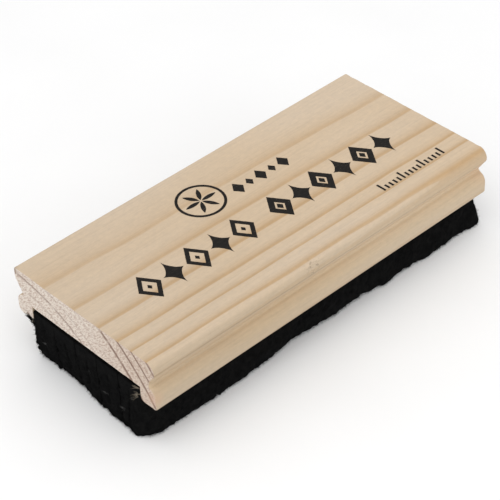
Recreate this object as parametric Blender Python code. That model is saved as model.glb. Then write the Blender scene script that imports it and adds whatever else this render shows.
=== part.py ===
"""Chalkboard eraser: a moulded wooden handle with a pad of folded felt strips glued under it.

Metres, +Z up. +X runs along the handle and +Y across it. The origin lies on the surface that
the felt rests on, below the middle of the handle.
"""

import math

import bpy
from mathutils import Matrix, Vector

# Driving dimensions.
HANDLE_LENGTH = 0.135
HANDLE_WIDTH = 0.060
HANDLE_HEIGHT = 0.0163
FELT_DROP = 0.0152              # height of felt that shows below the handle
STRIP_COUNT = 5
FIT_GAP = 0.0003                # clearance left between neighbouring pieces

# Section of the handle, seen along X. Heights are above the handle's underside.
UNDER_NOSE_Z = 0.0124           # where the side turns in to the finger groove
GROOVE_INSET = 0.0032           # depth of the groove's corner before it is rounded out
GROOVE_Z = 0.0075
GROOVE_RADIUS = 0.0008
BEAD_RADIUS = 0.0033            # rounded rail below the groove
BEAD_TOP_Z = 0.0063
LIP_INNER_RADIUS = 0.0014
LIP_WIDTH = 0.0067              # rim left on each side of the felt channel
CHANNEL_DEPTH = 0.0049
ARC_STEP = math.radians(9)

# The two long sides are worn differently: the radius of the lip's outer corner, of the turn
# in to the groove and of the top edge. At -Y the top is rounded and the turns below it are
# crisp, and at +Y it is the other way round.
NEAR_SIDE_RADII = (0.0010, 0.0008, 0.0030)
FAR_SIDE_RADII = (0.0021, 0.0028, 0.0009)

# Felt pad and its glue.
GLUE_THICKNESS = 0.0006
GLUE_END_INSET = 0.002
PAD_FOOT_WIDTH = 0.0498         # the strips spread a little below the channel
PLY_THICKNESS = 0.0043          # each strip is one length of felt folded in two
FOLD_RADIUS = 0.0022
CUT_EDGE_RADIUS = 0.0005
SLIT_WIDTH = 0.0003             # gap between the two plies of a strip

# Sizes that follow from those above.
HALF_WIDTH = HANDLE_WIDTH / 2
CHANNEL_HALF = HALF_WIDTH - LIP_WIDTH
CHANNEL_ROOF_Z = FELT_DROP + CHANNEL_DEPTH
GLUE_CENTRE_Z = CHANNEL_ROOF_Z - FIT_GAP - GLUE_THICKNESS / 2
FELT_TOP_Z = GLUE_CENTRE_Z - GLUE_THICKNESS / 2 - FIT_GAP
PAD_TOP_WIDTH = 2 * (CHANNEL_HALF - FIT_GAP)
ALL_STRIP_GAPS = (STRIP_COUNT - 1) * FIT_GAP

# Surface finishes: base colour, roughness, metallic.
PINE = ((0.74, 0.60, 0.42), 0.55, 0.0)
BLACK_FELT = ((0.012, 0.012, 0.013), 0.95, 0.0)
DRY_GLUE = ((0.72, 0.66, 0.48), 0.40, 0.0)


def clear_scene():
    """Remove every object, so that the script always starts from nothing."""
    for scene_object in list(bpy.data.objects):
        bpy.data.objects.remove(scene_object, do_unlink=True)


def new_collection(name):
    """Return a new collection linked to the scene."""
    collection = bpy.data.collections.new(name)
    bpy.context.scene.collection.children.link(collection)
    return collection


def new_root(name, collection):
    """Return the empty that the whole eraser hangs from."""
    root = bpy.data.objects.new(name, None)
    collection.objects.link(root)
    return root


def finish_material(name, finish):
    """Return a Principled material with a finish's colour, roughness and metallic value."""
    colour, roughness, metallic = finish
    material = bpy.data.materials.new(name)
    material.use_nodes = True
    shader = material.node_tree.nodes["Principled BSDF"]
    shader.inputs["Base Color"].default_value = (*colour, 1.0)
    shader.inputs["Roughness"].default_value = roughness
    shader.inputs["Metallic"].default_value = metallic
    return material


def rounded_outline(corners):
    """Return the points of a closed polygon whose corners are rounded by tangent arcs.

    Each corner is (y, z, radius). A radius of 0 keeps the corner sharp.
    """
    points = []
    for index, (y, z, radius) in enumerate(corners):
        corner = Vector((y, z))
        if radius == 0:
            points.append(corner)
            continue
        last_corner = Vector(corners[index - 1][:2])
        next_corner = Vector(corners[(index + 1) % len(corners)][:2])
        to_last = (last_corner - corner).normalized()
        to_next = (next_corner - corner).normalized()
        half_angle = to_last.angle(to_next) / 2
        centre = corner + (to_last + to_next).normalized() * radius / math.sin(half_angle)
        first_spoke = corner + to_last * radius / math.tan(half_angle) - centre
        turn = math.copysign(math.pi - 2 * half_angle, to_next.cross(to_last))
        steps = max(2, math.ceil(abs(turn) / ARC_STEP))
        for step in range(steps + 1):
            points.append(centre + Matrix.Rotation(turn * step / steps, 2) @ first_spoke)
    return points


def extruded_along_x(name, outline, length, finish, collection, root):
    """Return a solid whose section across X is the outline, centred on the YZ plane."""
    curve = bpy.data.curves.new(name, "CURVE")
    curve.dimensions = "2D"
    curve.fill_mode = "BOTH"
    curve.extrude = length / 2
    spline = curve.splines.new("POLY")
    spline.points.add(len(outline) - 1)
    for point, (y, z) in zip(spline.points, outline):
        point.co = (y, z, 0.0, 1.0)
    spline.use_cyclic_u = True
    solid = bpy.data.objects.new(name, curve)
    solid.rotation_euler = (math.radians(90), 0.0, math.radians(90))
    solid.parent = root
    solid.data.materials.append(finish_material(name, finish))
    collection.objects.link(solid)
    return solid


def side_corners(lip_radius, turn_radius, top_radius):
    """Corners of the handle's side at +Y, from the felt channel up to the top."""
    return [
        (CHANNEL_HALF, CHANNEL_DEPTH, 0.0),
        (CHANNEL_HALF, 0.0, LIP_INNER_RADIUS),
        (HALF_WIDTH, 0.0, lip_radius),
        (HALF_WIDTH, BEAD_TOP_Z, BEAD_RADIUS),
        (HALF_WIDTH - GROOVE_INSET, GROOVE_Z, GROOVE_RADIUS),
        (HALF_WIDTH, UNDER_NOSE_Z, turn_radius),
        (HALF_WIDTH, HANDLE_HEIGHT, top_radius),
    ]


def handle_outline():
    """Section of the handle, with z measured up from its underside."""
    far_side = side_corners(*FAR_SIDE_RADII)
    near_side = [(-y, z, radius) for y, z, radius in reversed(side_corners(*NEAR_SIDE_RADII))]
    return rounded_outline(far_side + near_side)


def make_handle(collection, root):
    """The one-piece pine block, moulded along both long sides and channelled below."""
    handle = extruded_along_x(
        "wooden_handle", handle_outline(), HANDLE_LENGTH, PINE, collection, root)
    handle.location.z = FELT_DROP


def make_adhesive_bed(collection, root):
    """The thin bed of glue between the channel's roof and the tops of the strips."""
    bpy.ops.mesh.primitive_cube_add(size=1.0)
    bed = bpy.context.object
    bed.name = "adhesive_bed"
    bed.data.name = "adhesive_bed"
    bed.scale = (HANDLE_LENGTH - 2 * GLUE_END_INSET, PAD_TOP_WIDTH, GLUE_THICKNESS)
    bpy.ops.object.transform_apply(location=False, rotation=False, scale=True)
    bed.location.z = GLUE_CENTRE_Z
    bed.parent = root
    bed.data.materials.append(finish_material("adhesive_bed", DRY_GLUE))
    for owner in list(bed.users_collection):
        owner.objects.unlink(bed)
    collection.objects.link(bed)


def strip_outline(place):
    """Section of one folded strip. place counts strips from the middle one, which is 0."""
    top_width = (PAD_TOP_WIDTH - ALL_STRIP_GAPS) / STRIP_COUNT
    foot_width = (PAD_FOOT_WIDTH - ALL_STRIP_GAPS) / STRIP_COUNT
    top_y = place * (top_width + FIT_GAP)
    foot_y = place * (foot_width + FIT_GAP)
    slit_half = SLIT_WIDTH / 2
    slit_foot_y = foot_y + (top_y - foot_y) * PLY_THICKNESS / FELT_DROP
    return rounded_outline([
        (foot_y - foot_width / 2, 0.0, FOLD_RADIUS),
        (foot_y + foot_width / 2, 0.0, FOLD_RADIUS),
        (top_y + top_width / 2, FELT_DROP, 0.0),
        (top_y + top_width / 2, FELT_TOP_Z, CUT_EDGE_RADIUS),
        (top_y + slit_half, FELT_TOP_Z, CUT_EDGE_RADIUS),
        (top_y + slit_half, FELT_DROP, 0.0),
        (slit_foot_y + slit_half, PLY_THICKNESS, 0.0),
        (slit_foot_y - slit_half, PLY_THICKNESS, 0.0),
        (top_y - slit_half, FELT_DROP, 0.0),
        (top_y - slit_half, FELT_TOP_Z, CUT_EDGE_RADIUS),
        (top_y - top_width / 2, FELT_TOP_Z, CUT_EDGE_RADIUS),
        (top_y - top_width / 2, FELT_DROP, 0.0),
    ])


def make_felt_strips(collection, root):
    """The felt strips, each folded in two with its fold at the foot, side by side across Y."""
    for index in range(STRIP_COUNT):
        place = index - (STRIP_COUNT - 1) / 2
        extruded_along_x(
            f"felt_strip_{index + 1}", strip_outline(place), HANDLE_LENGTH, BLACK_FELT,
            collection, root)


def main():
    """Build the whole eraser."""
    clear_scene()
    parts = new_collection("chalkboard_eraser")
    root = new_root("eraser_root", parts)
    make_handle(parts, root)
    make_adhesive_bed(parts, root)
    make_felt_strips(parts, root)


main()
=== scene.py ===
"""Looks of the chalkboard eraser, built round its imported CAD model.

Metres, in the CAD's frame: +X runs along the handle, +Y across it and +Z up, and the felt
stands on z = 0. Sizes are given in millimetres and multiplied by MM. Shader nodes work in
millimetres throughout.
"""

import itertools
import math
import random

import bmesh
import bpy
import numpy as np
from mathutils import Matrix, Vector, noise
from mathutils.geometry import delaunay_2d_cdt


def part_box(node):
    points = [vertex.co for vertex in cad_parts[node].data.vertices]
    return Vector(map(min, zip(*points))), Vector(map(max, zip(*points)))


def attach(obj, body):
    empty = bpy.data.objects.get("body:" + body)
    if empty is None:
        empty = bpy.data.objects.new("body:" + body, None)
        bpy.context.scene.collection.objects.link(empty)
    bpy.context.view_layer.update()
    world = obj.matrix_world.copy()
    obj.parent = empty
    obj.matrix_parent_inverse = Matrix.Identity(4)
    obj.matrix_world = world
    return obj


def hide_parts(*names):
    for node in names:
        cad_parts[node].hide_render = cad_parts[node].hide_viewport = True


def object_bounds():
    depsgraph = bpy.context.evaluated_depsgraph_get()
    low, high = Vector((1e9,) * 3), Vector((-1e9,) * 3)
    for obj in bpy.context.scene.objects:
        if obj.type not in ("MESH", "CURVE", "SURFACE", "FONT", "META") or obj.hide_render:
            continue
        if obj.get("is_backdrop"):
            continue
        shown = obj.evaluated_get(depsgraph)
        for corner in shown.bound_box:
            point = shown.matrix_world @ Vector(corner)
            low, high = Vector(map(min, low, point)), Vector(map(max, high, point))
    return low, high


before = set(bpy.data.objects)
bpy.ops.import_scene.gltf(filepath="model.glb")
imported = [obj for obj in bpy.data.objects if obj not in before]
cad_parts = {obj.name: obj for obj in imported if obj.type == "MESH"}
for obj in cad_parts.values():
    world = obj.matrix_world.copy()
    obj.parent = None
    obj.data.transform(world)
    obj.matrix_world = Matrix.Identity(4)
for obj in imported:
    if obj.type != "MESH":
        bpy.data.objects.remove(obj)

CAD_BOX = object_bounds()
BODY = "root"
MM = 0.001

# Places that the CAD model gives.
HANDLE_LOW, HANDLE_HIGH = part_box("wooden_handle")
GLUE_LOW, GLUE_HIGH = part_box("adhesive_bed")
STRIP_NODES = sorted(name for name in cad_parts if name.startswith("felt_strip"))
PAD_FOOT_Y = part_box(STRIP_NODES[0])[0].y
FELT_TOP_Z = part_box(STRIP_NODES[0])[1].z
END_X = HANDLE_HIGH.x
TOP_Z = HANDLE_HIGH.z
LIP_Z = HANDLE_LOW.z

# Camera and light.
VIEW_AZIMUTH = math.radians(-42.32)
VIEW_ELEVATION = math.radians(39.37)
VIEW_ROLL = math.radians(2.24)
VIEW_DISTANCE = 4.108 * (HANDLE_HIGH.x - HANDLE_LOW.x)
AIM_OFFSET = Vector((-2.4, 1.7, -0.4)) * MM
LENS_MM = 133.8
WORLD_LIGHT = 0.83
FLOOR_RADIUS = 6.0
FLOOR_SIDES = 96
FLOOR_DROP = 0.05 * MM

# Softboxes: name, direction, distance, size and power.
LIGHTS = (("key", (-0.35, -0.25, 1.0), 0.9, 0.7, 2.3),
          ("fill", (0.1, -1.0, 0.34), 1.2, 0.9, 1.7))

# Handle.
OUTLINE_STEP = 0.4 * MM
RING_STEP = 1.2 * MM
RING_ENDS = (0.0, 0.12 * MM, 0.3 * MM, 0.6 * MM, 1.1 * MM)
CAP_STEP = 0.45 * MM
CAP_MARGIN = 0.6 * CAP_STEP
CAP_JITTER = 0.1 * MM
WELD = 0.001 * MM
FILLED, HOLES_OPEN = 1, 2       # what Blender's triangulation makes of an outline

# Wear of the handle. Lengths are in millimetres, SANDED_FROM is a share of the half width, and
# layers of noise are (size of the bumps, height, seed).
RUB = 0.13
RUB_LAYERS = ((3.0, 0.1, 1.0), (0.8, 0.06, 2.0))
CHIP_SIZE = 5.0
CHIP_LEVEL = 0.42
CHIP_DEPTH = 1.6
WEAR_LIMIT = 0.45
RIM_REACH = 0.32
SANDED_FROM = 0.92
SANDED_EASE = 2.0
SANDED_DEPTH = 0.45
SANDED_REACH = 0.8
LONG_WAVES = ((4.0, 0.025, 5.0),)
WAVE_STRETCH = 6
RIPPLES = ((0.9, 0.008, 3.0),)
SAWN_DEPTH = 0.03
SAWN_LAYERS = ((0.9, 0.03, 4.0),)
RING_RELIEF = 0.02
RING_RIPPLE = 5.0

# Growth rings: cylinders round a pith line that runs along X below the far side of the block.
PITH_Y = 31.9
PITH_Z = -26.1
PITH_TILT = 0.0073
RING_WANDER = 0.45
RING_RADII = (43.5, 48.2, 52.3, 56.6, 60.1, 64.9, 70.5, 75.2, 78.8, 83.0, 87.2, 91.0)

# Felt strips. Setbacks, leans and spreads are how the foot differs from the CAD's, in
# millimetres: cut ends drawn back or leaning out, and a foot edge that stands out or in.
# The nap's layers run from broad hollows down to tufts.
PAD_TOP_HALF = GLUE_HIGH.y + 0.2 * MM
SEAM_GAP = 0.16 * MM
PLY = 4.3 * MM
SLIT_DEPTH = 0.6 * MM
FRONT_FOLD = 1.7 * MM
OTHER_FOLDS = 0.5 * MM
NEAR_LEFT_CORNER = 5.4 * MM
NEAR_RIGHT_CORNER = 1.4 * MM
RIGHT_FOOT_CORNER = 0.9 * MM
SQUARE_CORNER = 0.45 * MM
CORNER_AT_TOP = 0.05
LEFT_SETBACK = ((-25, -0.8), (-19, -0.1), (-14, -0.4), (-9, 0.1), (-5, 0.2), (0, 0.9),
                (4, 1.7), (9, 2.3), (15, 2.1), (25, 1.9))
LEFT_TOP_REACH = 0.15 * MM
RIGHT_LEANS = (3.0, 1.8, 0.9, 1.3, 0.4)
RIGHT_TOP_REACH = 0.7 * MM
NEAR_FOOT_SPREAD = ((-67, 0.9), (-52, 1.3), (-40, 1.9), (-26, 2.0), (-22, 2.1), (-17, 2.0),
                    (-11, 0.8), (-5, 1.5), (0, 1.8), (8, 2.1), (13, 2.0), (19, 2.0), (24, 2.2),
                    (28, 3.2), (33, 2.3), (39, 2.6), (48, 3.1), (58, 2.4), (62, 2.4), (67, 3.2))
FAR_FOOT_SPREAD = ((-67, 0.5), (-40, 0.8), (-12, 1.6), (20, 0.7), (45, 1.9), (67, 1.3))
SIDE_BULGES = (0.4, 0.6)
CAGE_COLUMNS = (0.0, 0.05, 0.24, 0.46, 0.5, 0.54, 0.76, 0.95, 1.0)
CAGE_ROWS = (0.0, 0.04, 0.12, 0.24, 0.37, 0.5, 0.63, 0.76, 0.9, 0.985, 1.0)
CAGE_ENDS = (0.0, 0.3 * MM, 1.2 * MM, 3.0 * MM)
CAGE_STEP = 2.3 * MM
START_LIFT = 0.25 * MM
GRIP_REACH = 0.4 * MM
CLOTH_FRAMES = 20
CLOTH_MASS = 0.02
CLOTH_PRESSURE = 4.0
SWELL_LIMIT = 1.1 * MM
FELT_LEVELS = 2
NAP = ((5.5, 0.34, 11.0), (2.1, 0.34, 13.0), (0.9, 0.44, 17.0))

# Loose fibres. FUZZ_OUTSIDE and FUZZ_BELOW are the shares of the felt's faces, on its outside
# and round its foot, that a fibre stands on. In millimetres, lint is (y, z, size, count), and
# splinters and tufts are (y, z, way in y, way in z, length, width, count). TUFT_LENGTHS and
# TUFT_WIDTHS are shares of those.
FIBRE_STEPS = 3
FIBRE_TAPER = 0.8
FUZZ_OUTSIDE = 0.25
FUZZ_BELOW = 0.03
FUZZ_LENGTHS = (0.4, 1.2)
FUZZ_WIDTHS = (0.05, 0.1)
FUZZ_LEAN = 0.9
FUZZ_CURL = 0.35
TUFT_X = -67.3
TUFT_OUT = -0.5
TUFT_LENGTHS = (0.4, 1.0)
TUFT_WIDTHS = (0.6, 1.2)
TUFT_CURL = 0.14
LINT_WIDTH = 0.05
LINT_CURL = 0.7
LINT_SPECKS = ((20.2, 7.8, 0.6, 30), (-7.4, 7.6, 0.9, 16), (-9.0, 8.0, 0.5, 8),
               (-15.4, 7.0, 1.1, 18), (-19.4, 13.2, 0.6, 12), (-0.8, 11.0, 0.7, 4))
SPLINTERS = ((-22.7, 18.9, 0.95, 0.25, 2.4, 0.13, 14), (-23.0, 17.3, 0.9, -0.25, 2.6, 0.14, 18),
             (-22.9, 16.6, 0.7, -0.6, 3.6, 0.1, 6), (24.0, 15.4, -0.3, -0.6, 1.4, 0.09, 12),
             (26.0, 15.3, 0.5, -0.4, 0.9, 0.07, 7))
FELT_TUFTS = ((23.8, 14.5, 1.5, 1.05, 3.5, 0.2, 54), (23.2, 13.7, 1.2, 1.0, 2.0, 0.2, 40),
              (22.6, 6.0, 0.9, -0.4, 1.1, 0.16, 12), (22.0, 4.2, 0.9, -0.6, 1.0, 0.16, 10))

# Glue and print, with the print's lengths in millimetres. A row of the pattern is (start,
# count, pitch, stroke), the dot in a lozenge is so many strokes wide and high, and the rosette
# is (x, y, radius).
GLUE_STEP = 1.6 * MM
GLUE_INSET = 0.2 * MM
GLUE_SQUEEZE = 0.15 * MM
GLUE_WANDER = 0.9 * MM
GLUE_LUMP = 0.1 * MM
PATTERN_Y = -4.5
PATTERN_ROWS = ((-46.3, 5, 9.0, 1.35), (4.6, 6, 8.7, 1.9))
LOZENGE_SIZE = (8.2, 12.0)
DOT_STROKES = (1.1, 1.6)
STAR_SIZE = (7.6, 11.6)
STAR_HOLLOW = 3.0
STAR_STEPS = 48
SMALL_START = 2.0
SMALL_PITCH = 4.6
SMALL_Y = 10.6
SMALL_HEIGHTS = (5.6, 3.6, 5.6, 3.6, 5.6)
SMALL_SLIM = 0.72
ROSETTE = (-10.0, 14.0, 7.8)
RING_STROKE = 0.9
RING_STEPS = 72
PETAL_INSET = 1.6
PETAL_SHARE = 0.88
PETAL_STEPS = 12
TICK_COUNT = 16
TICK_START = 31.5
TICK_PITCH = 1.72
TICK_Y = -21.6
TICK_WIDTH = 0.72
TICK_HEIGHT = 2.0
LONG_TICK_HEIGHT = 3.6
INK_STEP = 0.3 * MM
INK_BLEED = 0.05 * MM
INK_BITE = 0.04 * MM
INK_RISE = 0.05 * MM


# ---- helpers

def new_object(name, data):
    """Link a new object that shows the data, and return it."""
    piece = bpy.data.objects.new(name, data)
    bpy.context.scene.collection.objects.link(piece)
    return piece


def mesh_piece(name, vertices, faces, material, sharp_angle=40):
    """Return an object with a smooth-shaded mesh, sharp where faces meet at a steep angle."""
    mesh = bpy.data.meshes.new(name)
    mesh.from_pydata([tuple(v) for v in vertices], [], faces)
    mesh.validate()
    mesh.shade_smooth()
    mesh.set_sharp_from_angle(angle=math.radians(sharp_angle))
    mesh.materials.append(material)
    return new_object(name, mesh)


def face_outwards(piece):
    """Turn the faces of a closed mesh so that all of them point out."""
    work = bmesh.new()
    work.from_mesh(piece.data)
    bmesh.ops.recalc_face_normals(work, faces=work.faces)
    work.to_mesh(piece.data)
    work.free()


def closed_box(counts, point):
    """Points and quads of a closed box with a grid on each side, through point(i, j, k)."""
    index_of = {}
    vertices = []
    for place in itertools.product(*(range(count + 1) for count in counts)):
        if any(step in (0, count) for step, count in zip(place, counts)):
            index_of[place] = len(vertices)
            vertices.append(point(*place))
    faces = []
    for axis in range(3):
        first, second = [other for other in range(3) if other != axis]
        for level in (0, counts[axis]):
            for a, b in itertools.product(range(counts[first]), range(counts[second])):
                corner = [level] * 3
                face = []
                for step_a, step_b in ((0, 0), (1, 0), (1, 1), (0, 1)):
                    corner[first], corner[second] = a + step_a, b + step_b
                    face.append(index_of[tuple(corner)])
                faces.append(face)
    return vertices, faces


def noise_at(x, y, z, size, seed):
    """Smooth noise from -1 to 1 whose bumps are about the given size in millimetres."""
    scale = 1 / (size * MM)
    return noise.noise(Vector((x * scale + seed, y * scale - seed, z * scale + 2 * seed)))


def bumps(layers, x, y, z):
    """Height in millimetres of layers of noise, each given as (size, height, seed)."""
    return sum(height * noise_at(x, y, z, size, seed) for size, height, seed in layers)


def circle(x, y, radius, steps):
    """Points round a circle."""
    turns = [math.tau * k / steps for k in range(steps)]
    return [(x + radius * math.cos(t), y + radius * math.sin(t)) for t in turns]


def stations(low, high, ends, step):
    """Places from low to high, about a step apart, but closer at both ends as ends says."""
    inner = high - low - 2 * ends[-1]
    count = round(inner / step)
    middle = [low + ends[-1] + inner * k / count for k in range(1, count)]
    return [low + end for end in ends] + middle + [high - end for end in reversed(ends)]


def smooth_step(value):
    """Ease from 0 to 1 as the value goes from 0 to 1, and stay there outside that range."""
    t = min(max(value, 0.0), 1.0)
    return t * t * (3 - 2 * t)


def ring_radius(x, y, z):
    """Distance from the pith in millimetres, for a place in metres."""
    return math.hypot(y / MM - PITH_Y, z / MM - PITH_Z) - PITH_TILT * x / MM


# ---- shader graphs

class Graph:
    """A material's node tree, with a short method for each kind of node used here."""

    def __init__(self, name):
        self.material = bpy.data.materials.new(name)
        self.material.use_nodes = True
        self.tree = self.material.node_tree
        self.shader = self.tree.nodes["Principled BSDF"]
        self.coordinates = self.add("TexCoord")
        self.place = self.add(
            "VectorMath", {0: self.coordinates.outputs["Object"], "Scale": 1 / MM},
            operation="SCALE").outputs[0]

    def add(self, kind, inputs=None, **settings):
        """Add a node with the given settings, and set or link its inputs."""
        node = self.tree.nodes.new("ShaderNode" + kind)
        for name, value in settings.items():
            setattr(node, name, value)
        for socket, value in (inputs or {}).items():
            self.feed(node.inputs[socket], value)
        return node

    def feed(self, socket, value):
        """Link an output into a socket, or set the socket's own value. Colours have no alpha."""
        if isinstance(value, bpy.types.NodeSocket):
            self.tree.links.new(value, socket)
        else:
            socket.default_value = (*value, 1.0) if socket.type == "RGBA" else value

    def math(self, operation, a, b=0.0):
        return self.add("Math", {0: a, 1: b}, operation=operation).outputs[0]

    def product(self, first, *others):
        """The product of two or more values."""
        for other in others:
            first = self.math("MULTIPLY", first, other)
        return first

    def split(self, vector):
        """The x, y and z outputs of a vector."""
        return self.add("SeparateXYZ", {0: vector}).outputs

    def scaled(self, vector, scales):
        """A vector with its x, y and z each scaled by its own number."""
        return self.add("VectorMath", {0: vector, 1: scales}, operation="MULTIPLY").outputs[0]

    def noise(self, scale, detail=2.0, roughness=0.5, vector=None):
        """Noise over a vector, which is the place in millimetres unless another is given."""
        return self.add("TexNoise", {"Vector": self.place if vector is None else vector,
                                     "Scale": scale, "Detail": detail,
                                     "Roughness": roughness}).outputs[0]

    def grain(self, along, across, detail=2.0, roughness=0.5):
        """Noise with one scale along the handle and another across it."""
        return self.noise(1.0, detail, roughness,
                          vector=self.scaled(self.place, (along, across, across)))

    def between(self, value, low, high):
        """Ease from 0 at low to 1 at high."""
        return self.add("MapRange", {"Value": value, "From Min": low, "From Max": high},
                        interpolation_type="SMOOTHSTEP").outputs[0]

    def levels(self, value, low, high):
        """Spread a value that goes from 0 to 1 over the range from low to high."""
        return self.add("MapRange", {"Value": value, "To Min": low, "To Max": high}).outputs[0]

    def distance(self, vector, spot):
        return self.add("VectorMath", {0: vector, 1: spot}, operation="DISTANCE").outputs["Value"]

    def near(self, spot, reach):
        """1 at a spot, easing to 0 at a distance from it, in millimetres."""
        return self.between(self.distance(self.place, spot), reach, 0.0)

    def ramp(self, value, stops):
        """A grey or coloured ramp through (position, value or colour) stops."""
        node = self.add("ValToRGB", {0: value})
        elements = node.color_ramp.elements
        while len(elements) < len(stops):
            elements.new(0.5)
        for element, (position, level) in zip(elements, stops):
            element.position = position
            element.color = (*(level if isinstance(level, tuple) else (level,) * 3), 1.0)
        return node.outputs[0]

    def profile(self, value, low, high, stops):
        """A ramp whose stops lie between low and high, in the value's own unit."""
        share = self.add("MapRange", {"Value": value, "From Min": low, "From Max": high})
        return self.ramp(share.outputs[0],
                         [((stop - low) / (high - low), level) for stop, level in stops])

    def tinted(self, colour, tint):
        """A colour multiplied by a tint or a grey tone."""
        return self.mix(1.0, colour, tint, "MULTIPLY")

    def mix(self, amount, below, above, blend="MIX"):
        """Mix two colours."""
        node = self.add("Mix", data_type="RGBA", blend_type=blend)
        for index, value in ((0, amount), (6, below), (7, above)):
            self.feed(node.inputs[index], value)
        return node.outputs[2]

    def bump(self, height, depth, normal=None):
        """A bump whose full height is the given depth in millimetres."""
        inputs = {"Height": height, "Distance": depth * MM, "Strength": 1.0}
        if normal is not None:
            inputs["Normal"] = normal
        return self.add("Bump", inputs).outputs[0]

    def finish(self, colour, roughness, normal, **levels):
        """Feed the shader and return the material. Further levels are named by socket."""
        levels.update(Base_Color=colour, Roughness=roughness, Normal=normal)
        for name, value in levels.items():
            self.feed(self.shader.inputs[name.replace("_", " ")], value)
        return self.material


# ---- pine

EARLY_WOOD = (0.628, 0.5, 0.358)
LATE_WOOD = (0.522, 0.358, 0.2)
END_GRAIN = (0.77, 0.69, 0.605)
END_SPECKLE = (0.5, 0.37, 0.3)
END_TINT = (0.865, 0.805, 0.76)
END_LINE = (0.22, 0.13, 0.095)
END_LINE_STRENGTH = 0.95
# Dark brown of the pores and flecks, also used for the painted shade line under the nose.
MARK_AND_SHADE_COLOUR = (0.25, 0.19, 0.14)
PORE_STRENGTH = 0.4
FLECK_STRENGTH = 0.85
SIDE_LATE_SHARE = 0.35

SAW_SLANT = math.radians(38)

# How dark a ring's line is on the sawn ends, by the ring's radius.
END_LINE_LEVELS = ((50.0, 0.0), (55.0, 0.75), (57.5, 0.5), (60.5, 0.18), (65.5, 0.1),
                   (69.0, 0.95), (90.0, 1.0))

# Painted light and shade on the long sides, by height, with a slight warm tint: the sides are
# painted darker than the top, and the floor of the groove, which lies in shade under the nose,
# is painted paler than the rail below it.
SIDE_LOW = 15.0
SIDE_HIGH = 31.0
SIDE_PAINTED_SHADE = ((16.5, (0.89, 0.89, 0.875)), (19.0, (0.875, 0.865, 0.825)),
              (21.3, (0.88, 0.855, 0.79)), (22.2, (1.03, 1.01, 0.94)),
              (23.5, (0.985, 0.965, 0.91)), (27.0, (0.93, 0.91, 0.87)),
              (27.8, (0.865, 0.845, 0.785)), (29.0, (0.875, 0.87, 0.845)))

# Marks on the wood: place, reach, colour and strength.
STAINS = (((-67.5, 29.9, 30.6), 1.9, (0.24, 0.16, 0.1), 0.85),
          ((-66.9, -28.6, 19.0), 3.4, (0.58, 0.36, 0.24), 0.55),
          ((66.9, -29.0, 24.0), 7.0, (0.6, 0.38, 0.24), 0.35))
FLECKED_SPOT = (-6.8, -29.8, 29.4)
FLECKED_REACH = 4.6
# Height and slope along X of the nose's lower edge at -Y, where a line of shade is painted.
NOSE_EDGE_Z = 27.7
NOSE_EDGE_SLOPE = 0.0066


def ring_phase(graph):
    """Place within a growth ring (0 at its pale inner side, 1 at its dark rim), and radius."""
    section = graph.scaled(graph.place, (0.0, 1.0, 1.0))
    radius = graph.distance(section, (0.0, PITH_Y, PITH_Z))
    tilt = graph.product(graph.split(graph.place)[0], PITH_TILT)
    radius = graph.math("SUBTRACT", radius, tilt)
    wander = graph.levels(graph.grain(0.022, 0.03), -RING_WANDER, RING_WANDER)
    radius = graph.math("ADD", radius, wander)
    low, high = RING_RADII[0], RING_RADII[-1]
    share = graph.math("DIVIDE", graph.math("SUBTRACT", radius, low), high - low)
    curve_node = graph.add("FloatCurve", {"Value": share})
    curve = curve_node.mapping.curves[0]
    rings = len(RING_RADII) - 1
    for number, ring in enumerate(RING_RADII[1:-1], start=1):
        curve.points.new((ring - low) / (high - low), number / rings)
    for point in curve.points:
        point.handle_type = "VECTOR"
    curve_node.mapping.update()
    return graph.math("FRACT", graph.product(curve_node.outputs[0], rings)), radius


def late_wood(graph, phase, radius):
    """How far the wood has darkened towards latewood, which is fainter in the far rings."""
    profile = graph.ramp(phase, [(0.0, 0.35), (0.035, 0.03), (0.48, 0.0), (0.66, 0.18),
                                 (0.81, 0.5), (0.94, 1.12), (1.0, 0.85)])
    depth = graph.levels(graph.between(radius, 57.0, 71.0), 0.55, 1.0)
    patches = graph.levels(graph.grain(0.03, 0.25), 0.75, 1.2)
    return graph.product(profile, depth, patches)


def nose_edge_shade_line(graph):
    """A thin dark line painted along the side at -Y where it turns in under the nose: painted shade
    at the nose's lower edge.
    """
    x, y, z = graph.split(graph.place)
    height = graph.math("ADD", z, graph.product(x, NOSE_EDGE_SLOPE))
    distance = graph.math("ABSOLUTE", graph.math("SUBTRACT", height, NOSE_EDGE_Z))
    line_breaks = graph.levels(graph.grain(0.12, 0.5), 0.25, 0.7)
    return graph.product(graph.between(distance, 0.3, 0.06), graph.between(y, -27.5, -28.5), line_breaks)


def painted_side_shade(graph, along, up):
    """Painted shade and light on the long sides: by height, and painted a little darker towards the
    left end.
    """
    tint = graph.profile(up, SIDE_LOW, SIDE_HIGH, SIDE_PAINTED_SHADE)
    return graph.tinted(tint, graph.levels(along, 0.955, 1.01))


def grain_tones(graph):
    """Tones that multiply the planed faces' colour: fine streaks, slow drift and mottle."""
    streaks = graph.grain(0.06, 2.4, 3.0, 0.6)
    drift = graph.grain(0.012, 0.05, 1.0)
    mottle = graph.grain(0.5, 0.9, 4.0, 0.8)
    return [graph.ramp(streaks, [(0.3, 0.94), (0.5, 1.0), (0.7, 1.03)]),
            graph.ramp(drift, [(0.35, (1.0, 0.975, 0.94)), (0.65, (1.02, 1.03, 1.06))]),
            graph.ramp(mottle, [(0.3, (0.93, 0.935, 0.95)), (0.7, (1.05, 1.04, 1.03))])]


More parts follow.
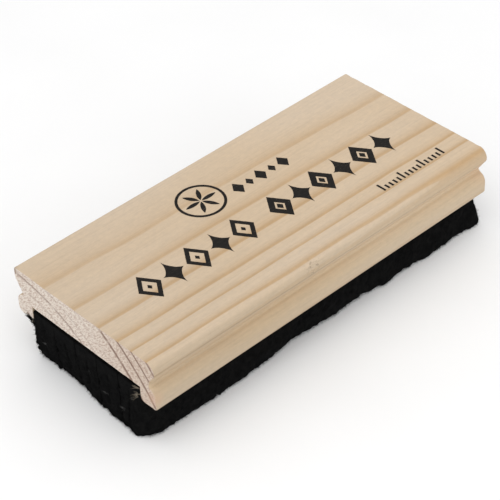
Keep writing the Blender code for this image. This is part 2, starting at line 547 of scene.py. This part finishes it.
def marks_and_shade_line(graph):
    """How dark the planed faces' small marks are: pores, the group of flecks, and the painted shade
    line along the nose's lower edge.
    """
    pores = graph.between(graph.grain(0.35, 5.5, 2.0, 0.7), 0.7, 0.8)
    flecks = graph.between(graph.grain(0.9, 1.4, 3.0, 0.8), 0.52, 0.62)
    flecks = graph.product(flecks, graph.near(FLECKED_SPOT, FLECKED_REACH), FLECK_STRENGTH)
    marks = graph.math("MAXIMUM", graph.product(pores, PORE_STRENGTH), flecks)
    return graph.math("MAXIMUM", marks, nose_edge_shade_line(graph))


def long_grain_colour(graph, late):
    """Colour of the planed faces: rings, the grain's tones, a darkening towards the left end that
    is partly painted shade, painted shade and light on the sides, dark marks and a painted shade
    line.
    """
    x, _, up = graph.split(graph.place)
    on_side = graph.between(up, TOP_Z / MM - 0.1, TOP_Z / MM - 1.7)
    colour = graph.mix(graph.product(late, graph.levels(on_side, 1.0, SIDE_LATE_SHARE)),
                       EARLY_WOOD, LATE_WOOD)
    along = graph.between(x, -75.0, 75.0)
    # The last tone darkens the planed faces towards the left end: partly painted shade, partly the
    # wood's own tone.
    for tone in [*grain_tones(graph), graph.levels(along, 0.93, 1.0)]:
        colour = graph.tinted(colour, tone)
    colour = graph.mix(on_side, colour, graph.tinted(colour, painted_side_shade(graph, along, up)))
    return graph.mix(marks_and_shade_line(graph), colour, MARK_AND_SHADE_COLOUR)


def saw_marks(graph):
    """Short slanting strokes that the saw left on the ends, and the grain's own speckle."""
    turned = graph.add("VectorRotate", {"Vector": graph.place, "Angle": SAW_SLANT},
                       rotation_type="X_AXIS").outputs[0]
    return graph.noise(1.35, 4.0, 0.8, vector=graph.scaled(turned, (1.0, 0.55, 1.5)))


def end_grain_colour(graph, phase, radius, marks):
    """Colour of the sawn ends: pale, speckled, darker to the near side, a line at each ring."""
    colour = graph.mix(graph.between(marks, 0.44, 0.62), END_GRAIN, END_SPECKLE)
    across = graph.split(graph.place)[1]
    colour = graph.mix(graph.between(across, 6.0, -26.0), colour, graph.tinted(colour, END_TINT))
    line = graph.ramp(phase, [(0.0, 0.7), (0.04, 0.0), (0.77, 0.0), (0.87, 1.0), (1.0, 1.0)])
    depth = graph.profile(radius, RING_RADII[0], RING_RADII[-1], END_LINE_LEVELS)
    breaks = graph.between(graph.noise(0.35), 0.2, 0.55)
    return graph.mix(graph.product(line, depth, breaks, END_LINE_STRENGTH), colour, END_LINE)


def pine_material():
    """Planed, unvarnished pine whose rings run on from the long faces into the sawn ends."""
    graph = Graph("pine")
    phase, radius = ring_phase(graph)
    late = late_wood(graph, phase, radius)
    marks = saw_marks(graph)
    facing = graph.split(graph.coordinates.outputs["Normal"])[0]
    end = graph.between(graph.math("ABSOLUTE", facing), 0.55, 0.8)
    colour = graph.mix(end, long_grain_colour(graph, late),
                       end_grain_colour(graph, phase, radius, marks))
    for spot, reach, stain, strength in STAINS:
        colour = graph.mix(graph.product(graph.near(spot, reach), strength), colour, stain)
    fibres = graph.grain(0.1, 4.5, 3.0, 0.6)
    relief = graph.bump(late, 0.03)
    relief = graph.bump(graph.mix(end, fibres, marks), 0.06, relief)
    roughness = graph.levels(graph.math("ADD", late, graph.product(end, -0.6)), 0.66, 0.52)
    return graph.finish(colour, roughness, relief, Specular_IOR_Level=0.3)


# ---- handle

def end_outline(node):
    """The outline (y, z) of a CAD node's end face at its lowest x, in order."""
    solid = bmesh.new()
    solid.from_mesh(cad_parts[node].data)
    bmesh.ops.remove_doubles(solid, verts=solid.verts, dist=WELD)
    end_x = min(v.co.x for v in solid.verts)
    is_end = {f for f in solid.faces if all(abs(v.co.x - end_x) < WELD for v in f.verts)}
    neighbours = {}
    for edge in solid.edges:
        if len(is_end.intersection(edge.link_faces)) == 1:
            first, second = edge.verts
            neighbours.setdefault(first, []).append(second)
            neighbours.setdefault(second, []).append(first)
    start = min(neighbours, key=lambda v: (v.co.y, v.co.z))
    path = [start, neighbours[start][0]]
    while path[-1] != start:
        ahead, behind = neighbours[path[-1]]
        path.append(ahead if behind == path[-2] else behind)
    outline = [(v.co.y, v.co.z) for v in path[:-1]]
    solid.free()
    return outline


def subdivided(outline, step):
    """The outline with points added so that none of its edges is longer than the step."""
    points = []
    for index, (y, z) in enumerate(outline):
        next_y, next_z = outline[(index + 1) % len(outline)]
        count = max(1, math.ceil(math.hypot(next_y - y, next_z - z) / step))
        for part in range(count):
            share = part / count
            points.append((y + (next_y - y) * share, z + (next_z - z) * share))
    return np.array(points)


def outward_normals(outline):
    """Unit normals of a closed outline, pointing out of it."""
    ahead = np.roll(outline, -1, axis=0)
    along = ahead - np.roll(outline, 1, axis=0)
    normals = np.stack([along[:, 1], -along[:, 0]], axis=1)
    normals /= np.linalg.norm(normals, axis=1, keepdims=True)
    area = np.sum(outline[:, 0] * ahead[:, 1] - ahead[:, 0] * outline[:, 1])
    return normals if area > 0 else -normals


def sanded_corner(x, y, z):
    """1 on the outer face of the rail and groove at the left end of -Y, easing to 0."""
    if x > 0 or y > -SANDED_FROM * HANDLE_HIGH.y:
        return 0.0
    above_lip = smooth_step((z - LIP_Z - 1.0 * MM) / (SANDED_EASE * MM))
    return above_lip * smooth_step((NOSE_EDGE_Z * MM - z) / (SANDED_EASE * MM))


def handle_offset(x, y, z):
    """How far a point of the handle's side stands out from the CAD's section.

    The ends' rims are rubbed round, a little more in some places, and the moulding is
    straight to a few hundredths of a millimetre.
    """
    from_end = END_X - abs(x)
    chip = max(0.0, noise_at(x, y, z, CHIP_SIZE, 7.0) - CHIP_LEVEL) * CHIP_DEPTH
    corner = sanded_corner(x, y, z)
    wear = min(RUB + bumps(RUB_LAYERS, x, y, z) + chip, WEAR_LIMIT) + SANDED_DEPTH * corner
    rim = max(0.0, 1 - from_end / ((RIM_REACH + SANDED_REACH * corner) * MM)) ** 2
    wave = bumps(LONG_WAVES, x / WAVE_STRETCH, y, z) + bumps(RIPPLES, x, y, z)
    return (wave - wear * rim) * MM


def inside(outline, y, z):
    """True if the point (y, z) lies inside the outline."""
    ahead = np.roll(outline, -1, axis=0)
    crosses = (outline[:, 1] > z) != (ahead[:, 1] > z)
    a, b = outline[crosses], ahead[crosses]
    crossing_y = a[:, 0] + (z - a[:, 1]) / (b[:, 1] - a[:, 1]) * (b[:, 0] - a[:, 0])
    return np.count_nonzero(crossing_y > y) % 2 == 1


def cap_points(outline):
    """Points spread over the inside of an outline on a slightly uneven grid."""
    chance = random.Random(3)
    points = []
    low, high = outline.min(axis=0), outline.max(axis=0)
    for y in np.arange(low[0], high[0], CAP_STEP):
        for z in np.arange(low[1], high[1], CAP_STEP):
            spot = np.array([y, z]) + [chance.uniform(-CAP_JITTER, CAP_JITTER) for _ in range(2)]
            gap = np.min(np.linalg.norm(outline - spot, axis=1))
            if gap > CAP_MARGIN and inside(outline, *spot):
                points.append(spot)
    return points


def end_cap(rim, x):
    """Extra points and the triangles of an end face. Triangles count the rim's points first."""
    extra = cap_points(rim)
    flat = [Vector(p) for p in rim] + [Vector(p) for p in extra]
    _, _, faces, sources, _, _ = delaunay_2d_cdt(
        flat, [], [list(range(len(rim)))], FILLED, WELD)
    inwards = -math.copysign(1.0, x)
    points = []
    for y, z in extra:
        ring = ring_radius(x, y, z)
        rough = SAWN_DEPTH + bumps(SAWN_LAYERS, x, y, z)
        rough += RING_RELIEF * math.sin(ring * RING_RIPPLE)
        points.append((x + inwards * max(rough, 0.0) * MM, y, z))
    original = [source[0] for source in sources]
    return points, [[original[i] for i in face] for face in faces]


def make_handle(material):
    """The pine handle: the CAD's own section, with worn rims and rough sawn ends."""
    outline = subdivided(end_outline("wooden_handle"), OUTLINE_STEP)
    normals = outward_normals(outline)
    rings = stations(-END_X, END_X, RING_ENDS, RING_STEP)
    count = len(outline)
    vertices = []
    for x in rings:
        for (y, z), (out_y, out_z) in zip(outline, normals):
            offset = handle_offset(x, y, z)
            vertices.append((x, y + out_y * offset, z + out_z * offset))
    faces = []
    for ring in range(len(rings) - 1):
        for k in range(count):
            a, b = ring * count + k, ring * count + (k + 1) % count
            faces.append((a, b, b + count, a + count))
    for first in (0, (len(rings) - 1) * count):
        rim = np.array([v[1:] for v in vertices[first:first + count]])
        extra, triangles = end_cap(rim, vertices[first][0])
        base = len(vertices)
        vertices.extend(extra)
        for triangle in triangles:
            faces.append([first + i if i < count else base + i - count for i in triangle])
    handle = mesh_piece("pine_handle", vertices, faces, material)
    face_outwards(handle)
    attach(handle, BODY)
    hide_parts("wooden_handle")


# ---- felt

def felt_material():
    """Needled black felt: matted fibres in soft clumps, a little worn and dusty in places."""
    graph = Graph("black_felt")
    clumps = graph.noise(0.55, 3.0, 0.6)
    matted = graph.noise(2.4, 4.0, 0.75)
    shade = graph.math("ADD", graph.product(clumps, 0.6), graph.product(matted, 0.4))
    colour = graph.ramp(shade, [(0.36, (0.0022, 0.0022, 0.0025)), (0.66, (0.009, 0.009, 0.0088))])
    relief = graph.bump(graph.noise(5.5, 4.0, 0.8), 0.16, graph.bump(matted, 0.35))
    return graph.finish(colour, graph.levels(clumps, 0.92, 1.0), relief,
                        Specular_IOR_Level=0.015, Sheen_Weight=0.008, Sheen_Roughness=0.6)


def foot_share(z):
    """0 where the felt leaves the handle's lip, and 1 at its foot."""
    return min(max(1 - z / LIP_Z, 0.0), 1.0)


def seam_y(number, z):
    """Where seam 0 (the near side) to seam 5 (the far side) lies across the pad at a height."""
    half_width = PAD_TOP_HALF + (-PAD_FOOT_Y - PAD_TOP_HALF) * foot_share(z)
    return half_width * (2 * number / len(STRIP_NODES) - 1)


def rounding(radius, distance):
    """How far a rounded corner stands in from its square corner, this far along its side."""
    if distance >= radius:
        return 0.0
    return radius - math.sqrt(radius ** 2 - (radius - distance) ** 2)


def interpolated(stops, place):
    """Read a line given as (place, value) stops in millimetres, at a place in metres."""
    return float(np.interp(place / MM, *zip(*stops))) * MM


class Strip:
    """One folded felt strip, numbered from 0 at the near side."""

    def __init__(self, number):
        self.number = number
        self.is_near = number == 0
        self.is_far = number == len(STRIP_NODES) - 1
        self.right_lean = RIGHT_LEANS[number] * MM

    def ends(self, y, z):
        """The strip's left and right end at a place across the pad and a height."""
        share = foot_share(z)
        left = -END_X - LEFT_TOP_REACH + interpolated(LEFT_SETBACK, y) * share ** 1.5
        right = END_X + RIGHT_TOP_REACH + (self.right_lean - RIGHT_TOP_REACH) * share
        return left, right - rounding(RIGHT_FOOT_CORNER, z)

    def side(self, which, x, z, from_end):
        """Y of the strip's side: which is 0 for the side nearer the camera and 1 for the other."""
        outwards = 2 * which - 1
        is_outer = self.is_near if which == 0 else self.is_far
        is_front = is_outer and which == 0
        y = seam_y(self.number + which, z) - outwards * SEAM_GAP / 2
        if is_outer:
            stops = NEAR_FOOT_SPREAD if self.is_near else FAR_FOOT_SPREAD
            share = foot_share(z)
            y += outwards * interpolated(stops, x) * share ** 2
            y += outwards * SIDE_BULGES[which] * MM * math.sin(math.pi * math.sqrt(share))
        corner = SQUARE_CORNER
        if is_front:
            corner = NEAR_LEFT_CORNER if x < 0 else NEAR_RIGHT_CORNER
        corner *= CORNER_AT_TOP + (1 - CORNER_AT_TOP) * foot_share(z)
        y -= outwards * rounding(corner, from_end)
        y -= outwards * rounding(FRONT_FOLD if is_front else OTHER_FOLDS, z)
        return y

    def point(self, along, across, up):
        """A point of the strip's cage. All three places run from 0 to 1."""
        z = START_LIFT + (FELT_TOP_Z - START_LIFT) * up
        left, right = self.ends(seam_y(self.number + across, z), z)
        x = left + (right - left) * along
        from_end = max(min(x - left, right - x), 0.0)
        near, far = (self.side(which, x, z, from_end) for which in (0, 1))
        if min(along, 1 - along) == 0 and across == 0.5 and PLY < z < LIP_Z:
            x += math.copysign(SLIT_DEPTH, 0.5 - along)
        return Vector((x, near + (far - near) * across, z))


def cage_mesh(strip):
    """A closed cage of quads round a strip: rings of points along it, and a grid at each end."""
    length = 2 * END_X
    along = [x / length for x in stations(0.0, length, CAGE_ENDS, CAGE_STEP)]
    grid = (along, CAGE_COLUMNS, CAGE_ROWS)

    def point(*place):
        return strip.point(*(levels[step] for levels, step in zip(grid, place)))

    return closed_box([len(levels) - 1 for levels in grid], point)


def swell(cage):
    """Puff the cage up with a cloth simulation, held where the handle grips it."""
    gripped = cage.vertex_groups.new(name="gripped")
    gripped.add([v.index for v in cage.data.vertices if v.co.z > LIP_Z - GRIP_REACH],
                1.0, "REPLACE")
    cloth = cage.modifiers.new("cloth", "CLOTH")
    cloth.settings.vertex_group_mass = "gripped"
    cloth.settings.mass = CLOTH_MASS
    cloth.settings.use_pressure = True
    cloth.settings.uniform_pressure_force = CLOTH_PRESSURE
    cloth.settings.effector_weights.gravity = 0.0
    cloth.collision_settings.use_collision = False
    cloth.point_cache.frame_end = CLOTH_FRAMES
    for time in range(1, CLOTH_FRAMES + 1):
        bpy.context.scene.frame_set(time)
    swollen = cage.evaluated_get(bpy.context.evaluated_depsgraph_get())
    puffed = [v.co.copy() for v in swollen.data.vertices]
    cage.modifiers.remove(cloth)
    bpy.context.scene.frame_set(1)
    for vertex, target in zip(cage.data.vertices, puffed):
        move = target - vertex.co
        if move.length > SWELL_LIMIT:
            move *= SWELL_LIMIT / move.length
        vertex.co += move


def kept_clear(point, strip):
    """Move a point back into the strip's own room, clear of its neighbours and the handle."""
    x, y, z = point
    z = min(max(z, 0.0), FELT_TOP_Z)
    is_gripped = z > LIP_Z - GRIP_REACH
    if is_gripped or not strip.is_near:
        y = max(y, seam_y(strip.number, z) + SEAM_GAP / 2)
    if is_gripped or not strip.is_far:
        y = min(y, seam_y(strip.number + 1, z) - SEAM_GAP / 2)
    return Vector((x, y, z))


def raise_nap(felt, strip):
    """Move a strip's points along their normals by the height of its nap."""
    surface = [(v.co.copy(), v.normal.copy()) for v in felt.data.vertices]
    for vertex, (place, normal) in zip(felt.data.vertices, surface):
        free = smooth_step((LIP_Z - place.z) / (2 * MM))
        vertex.co = kept_clear(place + normal * (bumps(NAP, *place) * free * MM), strip)


def subdivided_mesh(cage):
    """The cage's mesh after Catmull-Clark subdivision."""
    rounder = cage.modifiers.new("rounder", "SUBSURF")
    rounder.levels = rounder.render_levels = FELT_LEVELS
    shown = cage.evaluated_get(bpy.context.evaluated_depsgraph_get())
    return bpy.data.meshes.new_from_object(shown)


def make_strip(number, material):
    """A folded felt strip: cage, cloth simulation, subdivision and nap."""
    strip = Strip(number)
    name = f"folded_felt_{number + 1}"
    cage = mesh_piece(name + "_cage", *cage_mesh(strip), material)
    face_outwards(cage)
    swell(cage)
    for vertex in cage.data.vertices:
        vertex.co = kept_clear(vertex.co, strip)
    felt = new_object(name, subdivided_mesh(cage))
    felt.data.name = name
    bpy.data.objects.remove(cage)
    raise_nap(felt, strip)
    felt.data.shade_smooth()
    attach(felt, BODY)
    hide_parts(STRIP_NODES[number])
    return felt


# ---- fibres

def fibre(root, direction, length, width, curl, chance):
    """Points and faces of one thin tapering fibre that bends at random as it goes."""
    points = []
    place, heading = Vector(root), Vector(direction).normalized()
    for step in range(FIBRE_STEPS + 1):
        across = heading.orthogonal().normalized()
        other = heading.cross(across)
        radius = width / 2 * (1 - FIBRE_TAPER * step / FIBRE_STEPS)
        for side in range(3):
            turn = math.tau * side / 3
            points.append(place + (across * math.cos(turn) + other * math.sin(turn)) * radius)
        place = place + heading * length / FIBRE_STEPS
        bend = Vector([chance.gauss(0, curl) for _ in range(3)])
        heading = (heading + bend).normalized()
    faces = [(2, 1, 0)]
    for step in range(FIBRE_STEPS):
        for side in range(3):
            a, b = 3 * step + side, 3 * step + (side + 1) % 3
            faces.append((a, b, b + 3, a + 3))
    last = 3 * FIBRE_STEPS
    faces.append((last, last + 1, last + 2))
    return points, faces


def fibre_piece(name, fibres, material):
    """One object made of many fibres."""
    vertices, faces = [], []
    for points, sides in fibres:
        base = len(vertices)
        vertices.extend((p.x, p.y, max(p.z, 0.0)) for p in points)
        faces.extend([base + i for i in side] for side in sides)
    piece = mesh_piece(name, vertices, faces, material, sharp_angle=180)
    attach(piece, BODY)
    return piece


def fuzz_share(place, normal, number):
    """Share of the faces round a spot of strip number's surface that a loose fibre stands on."""
    if place.z > LIP_Z - 0.2 * MM:
        return 0.0
    is_near, is_far = number == 0, number == len(STRIP_NODES) - 1
    if abs(normal.x) > 0.5 or (is_near and normal.y < -0.4) or (is_far and normal.y > 0.4):
        return FUZZ_OUTSIDE
    return FUZZ_BELOW if place.z < FRONT_FOLD else 0.0


def tuft(spot, chance, spread, stray):
    """Fibres that spring from one spot of the left end, as a row of the tables above says."""
    y, z, out_y, out_z, length, width, count = spot
    fibres = []
    for _ in range(count):
        root = Vector((TUFT_X, y + chance.gauss(0, spread), z + chance.gauss(0, spread))) * MM
        way = Vector((TUFT_OUT + chance.gauss(0, stray), out_y + chance.gauss(0, stray),
                      out_z + chance.gauss(0, stray)))
        reach = length * chance.uniform(*TUFT_LENGTHS) * MM
        thick = width * chance.uniform(*TUFT_WIDTHS) * MM
        fibres.append(fibre(root, way, reach, thick, TUFT_CURL, chance))
    return fibres


def make_fuzz(strips, material):
    """Loose fibres that stand off the outside of the felt, in tufts at its left end."""
    chance = random.Random(11)
    fibres = []
    for number, strip in enumerate(strips):
        for face in strip.data.polygons:
            if chance.random() > fuzz_share(face.center, face.normal, number):
                continue
            lean = Vector([chance.uniform(-1, 1) for _ in range(3)])
            length = chance.uniform(*FUZZ_LENGTHS) * MM
            width = chance.uniform(*FUZZ_WIDTHS) * MM
            way = face.normal + FUZZ_LEAN * lean
            fibres.append(fibre(face.center, way, length, width, FUZZ_CURL, chance))
    for spot in FELT_TUFTS:
        fibres += tuft(spot, chance, spread=0.4, stray=0.1)
    fibre_piece("felt_fuzz", fibres, material)


def left_surface(strips, y, z):
    """The spot on the felt's left end at a place across the pad and a height."""
    shown = bpy.context.evaluated_depsgraph_get()
    start = Vector((-END_X - 10 * MM, y, z))
    for strip in strips:
        is_hit, place, _, _ = strip.ray_cast(start, (1.0, 0.0, 0.0), depsgraph=shown)
        if is_hit and place.x < 0:
            return place
    return Vector((-END_X, y, z))


def make_lint(strips, material):
    """Pale specks of lint caught on the left end of the felt."""
    chance = random.Random(5)
    fibres = []
    for y, z, size, count in LINT_SPECKS:
        for _ in range(count):
            root = left_surface(strips, (y + chance.gauss(0, 0.4 * size)) * MM,
                                (z + chance.gauss(0, 0.2 * size)) * MM)
            way = Vector((-0.4, chance.uniform(-1, 1), chance.uniform(-0.5, 0.5)))
            fibres.append(fibre(root, way, size * MM, LINT_WIDTH * MM, LINT_CURL, chance))
    fibre_piece("lint_specks", fibres, material)


def make_splinters(material):
    """Torn wood fibres left by the cutter at the lips' inner corners, on the left end."""
    chance = random.Random(23)
    fibres = []
    for spot in SPLINTERS:
        fibres += tuft(spot, chance, spread=0.2, stray=0.16)
    fibre_piece("torn_wood_fibres", fibres, material)


def fibre_material(name, dark, light, roughness):
    """Loose fibres whose tone varies from one to the next."""
    graph = Graph(name)
    colour = graph.ramp(graph.noise(1.3), [(0.35, dark), (0.65, light)])
    relief = graph.bump(graph.noise(9.0), 0.02)
    return graph.finish(colour, roughness, relief, Specular_IOR_Level=0.03)


# ---- glue

def glue_material():
    """Dry contact glue: cream, slightly glossy and lumpy."""
    graph = Graph("dry_glue")
    tone = graph.noise(0.4, 3.0)
    colour = graph.ramp(tone, [(0.3, (0.62, 0.52, 0.33)), (0.7, (0.74, 0.67, 0.5))])
    lumps = graph.noise(1.1, 3.0)
    return graph.finish(colour, graph.levels(lumps, 0.3, 0.5), graph.bump(lumps, 0.15))


def glue_point(x, y, is_top):
    """A point of the glue bed, whose edge wanders and whose faces are lumpy."""
    edge = 1 + GLUE_WANDER / END_X * noise_at(x, y, 0.0, 4.0, 31.0)
    lump = GLUE_LUMP * noise_at(x, y, 0.0, 2.5, 37.0 if is_top else 41.0)
    z = GLUE_HIGH.z + GLUE_SQUEEZE if is_top else GLUE_LOW.z - GLUE_SQUEEZE
    return (x * edge, y, z + lump)


def make_glue(material):
    """The bed of glue between the channel's roof and the felt."""
    size = GLUE_HIGH - GLUE_LOW
    columns, rows = round(size.x / GLUE_STEP), round(size.y / GLUE_STEP)
    reach_y = GLUE_HIGH.y - GLUE_INSET

    def point(i, j, k):
        x = GLUE_LOW.x + size.x * i / columns
        return glue_point(x, reach_y * (2 * j / rows - 1), is_top=k == 1)

    glue = mesh_piece("glue_bed", *closed_box((columns, rows, 1), point), material)
    face_outwards(glue)
    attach(glue, BODY)
    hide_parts("adhesive_bed")


# ---- print

def lozenge(x, y, width, height):
    """Corners of an upright lozenge, in millimetres."""
    return [(x + width / 2 * right, y + height / 2 * up)
            for right, up in ((1, 0), (0, 1), (-1, 0), (0, -1))]


def star(x, y, width, height):
    """A four-pointed star with hollow sides, drawn as the curve of an astroid."""
    return [(x + width / 2 * math.copysign(abs(right) ** STAR_HOLLOW, right),
             y + height / 2 * math.copysign(abs(up) ** STAR_HOLLOW, up))
            for right, up in circle(0.0, 0.0, 1.0, STAR_STEPS)]


def petal(x, y, radius, turn):
    """One petal of a compass-drawn rosette: an arc of the rosette's radius out, and one back."""
    points = []
    for side in (1, -1):
        spoke = turn + side * math.pi / 3
        for k in range(PETAL_STEPS):
            out = k / PETAL_STEPS if side == 1 else 1 - k / PETAL_STEPS
            arc = spoke + math.pi + side * math.pi / 3 * out
            points.append((x + radius * (math.cos(spoke) + math.cos(arc)),
                           y + radius * (math.sin(spoke) + math.sin(arc))))
    return points


def shrunk(outline, share):
    """The outline drawn smaller about its middle."""
    middle_x = sum(p[0] for p in outline) / len(outline)
    middle_y = sum(p[1] for p in outline) / len(outline)
    return [(middle_x + (x - middle_x) * share, middle_y + (y - middle_y) * share)
            for x, y in outline]


def lozenge_frame(x, y, width, height, stroke):
    """The outer and inner outline of a lozenge drawn with a stroke."""
    inner_radius = width * height / (2 * math.hypot(width, height))
    outer = lozenge(x, y, width, height)
    return outer, shrunk(outer, 1 - stroke / inner_radius)


def pattern_shapes():
    """The band of framed lozenges and stars along the handle."""
    for start, count, pitch, stroke in PATTERN_ROWS:
        for k in range(count):
            x = start + pitch * k
            if k % 2 == 0:
                yield lozenge_frame(x, PATTERN_Y, *LOZENGE_SIZE, stroke)
                yield [lozenge(x, PATTERN_Y, *(share * stroke for share in DOT_STROKES))]
            else:
                yield [star(x, PATTERN_Y, *STAR_SIZE)]


def rosette_shapes():
    """The ring and the six petals inside it."""
    x, y, radius = ROSETTE
    yield [circle(x, y, ring, RING_STEPS) for ring in (radius, radius - RING_STROKE)]
    for k in range(6):
        yield [shrunk(petal(x, y, radius - PETAL_INSET, math.tau * k / 6), PETAL_SHARE)]


def small_shapes():
    """The row of small lozenges and the row of ruler ticks."""
    for k, tall in enumerate(SMALL_HEIGHTS):
        yield [lozenge(SMALL_START + SMALL_PITCH * k, SMALL_Y, SMALL_SLIM * tall, tall)]
    for k in range(TICK_COUNT):
        top = TICK_Y + (LONG_TICK_HEIGHT if k % 5 == 0 else TICK_HEIGHT)
        left = TICK_START + k * TICK_PITCH - TICK_WIDTH / 2
        right = left + TICK_WIDTH
        yield [[(left, TICK_Y), (right, TICK_Y), (right, top), (left, top)]]


def printed_shapes():
    """Every shape of the print, as its outline and its hole's if it has one, in millimetres."""
    return [*pattern_shapes(), *rosette_shapes(), *small_shapes()]


def inked(outline):
    """The outline in metres, with points added and an edge that bleeds a little unevenly."""
    return [(x + INK_BLEED * noise_at(x, y, 0.0, 0.7, 51.0),
             y + INK_BLEED * noise_at(x, y, 0.0, 0.7, 53.0))
            for x, y in subdivided([(x * MM, y * MM) for x, y in outline], INK_STEP)]


def flat_triangles(loops):
    """Points and triangles that fill an outline, less the hole that a second outline cuts."""
    points = [Vector(p) for loop in loops for p in loop]
    rounds, first = [], 0
    for loop in loops:
        rounds.append(list(range(first, first + len(loop))))
        first += len(loop)
    corners, _, faces, _, _, _ = delaunay_2d_cdt(points, [], rounds, HOLES_OPEN, 0.1 * WELD)
    return corners, faces


def ink_material():
    """Matt black screen-printed ink, a little thin where it crosses open grain."""
    graph = Graph("printing_ink")
    thin = graph.grain(0.5, 3.0, 3.0, 0.65)
    tone = graph.ramp(thin, [(0.35, (0.007, 0.006, 0.005)), (0.62, (0.014, 0.012, 0.01)),
                             (0.76, (0.09, 0.07, 0.05))])
    relief = graph.bump(graph.grain(0.3, 4.0, 3.0), 0.03)
    return graph.finish(tone, graph.levels(thin, 0.5, 0.7), relief, Specular_IOR_Level=0.12)


def make_print(material):
    """Generic printed ornament on the top of the handle, as a thin film of ink."""
    film = bmesh.new()
    for loops in printed_shapes():
        corners, triangles = flat_triangles([inked(loop) for loop in loops])
        points = [film.verts.new((x, y, TOP_Z - INK_BITE)) for x, y in corners]
        for triangle in triangles:
            film.faces.new([points[k] for k in triangle])
    bmesh.ops.recalc_face_normals(film, faces=film.faces)
    walls = bmesh.ops.extrude_face_region(film, geom=list(film.faces))
    raised = [item for item in walls["geom"] if isinstance(item, bmesh.types.BMVert)]
    bmesh.ops.translate(film, verts=raised, vec=(0.0, 0.0, INK_BITE + INK_RISE))
    bmesh.ops.recalc_face_normals(film, faces=film.faces)
    mesh = bpy.data.meshes.new("printed_ornament")
    film.to_mesh(mesh)
    film.free()
    mesh.materials.append(material)
    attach(new_object("printed_ornament", mesh), BODY)


# ---- stage

def make_floor():
    """A plain pale floor, wide enough to fill every view."""
    graph = Graph("pale_floor")
    tone = graph.ramp(graph.noise(0.02), [(0.3, 0.95), (0.7, 0.97)])
    fine = graph.bump(graph.noise(1.5), 0.02)
    material = graph.finish(tone, 0.9, fine, Specular_IOR_Level=0.1)
    ring = [(x, y, 0.0) for x, y in circle(0.0, 0.0, FLOOR_RADIUS, FLOOR_SIDES)]
    floor = mesh_piece("floor", ring, [list(range(FLOOR_SIDES))], material)
    floor.location.z = -FLOOR_DROP
    floor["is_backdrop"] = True


def make_light(name, direction, distance, size, power):
    """A square softbox that faces the eraser from the given direction."""
    lamp = bpy.data.lights.new(name, "AREA")
    lamp.shape = "SQUARE"
    lamp.size = size
    lamp.energy = power
    light = new_object(name, lamp)
    towards = Vector(direction).normalized()
    light.location = towards * distance
    light.rotation_mode = "QUATERNION"
    light.rotation_quaternion = (-towards).to_track_quat("-Z", "Y")


def make_world():
    """Even white light from all round."""
    world = bpy.data.worlds.new("studio")
    world.use_nodes = True
    background = world.node_tree.nodes["Background"]
    background.inputs["Color"].default_value = (1.0, 1.0, 1.0, 1.0)
    background.inputs["Strength"].default_value = WORLD_LIGHT
    bpy.context.scene.world = world


def make_camera():
    """The camera, at the photograph's viewing angle."""
    lens = bpy.data.cameras.new("camera")
    lens.lens = LENS_MM
    lens.clip_start = 0.01
    camera = new_object("camera", lens)
    level = math.cos(VIEW_ELEVATION)
    back = Vector((math.sin(VIEW_AZIMUTH) * level, -math.cos(VIEW_AZIMUTH) * level,
                   math.sin(VIEW_ELEVATION)))
    aim = (CAD_BOX[0] + CAD_BOX[1]) / 2 + AIM_OFFSET
    camera.location = aim + back * VIEW_DISTANCE
    camera.rotation_mode = "QUATERNION"
    roll = Matrix.Rotation(-VIEW_ROLL, 3, "Z").to_quaternion()
    camera.rotation_quaternion = (-back).to_track_quat("-Z", "Y") @ roll
    bpy.context.scene.camera = camera


def write_sizes():
    """Gather the CAD's box and the visual model's box as lists."""
    boxes = {"cad": CAD_BOX, "visual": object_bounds()}
    plain = {name: [list(low), list(high)] for name, (low, high) in boxes.items()}


def main():
    """Build the looks of the whole eraser."""
    bpy.context.scene.view_settings.view_transform = "Standard"
    make_camera()
    make_world()
    make_floor()
    for light in LIGHTS:
        make_light(*light)
    make_handle(pine_material())
    make_print(ink_material())
    make_glue(glue_material())
    felt = felt_material()
    strips = [make_strip(number, felt) for number in range(len(STRIP_NODES))]
    make_fuzz(strips, fibre_material("felt_fibre", (0.004,) * 3, (0.012,) * 3, 0.95))
    make_lint(strips, fibre_material("lint", (0.07, 0.07, 0.07), (0.24, 0.24, 0.23), 0.9))
    make_splinters(fibre_material("torn_pine", (0.2, 0.16, 0.12), (0.46, 0.4, 0.31), 0.8))
    write_sizes()


main()
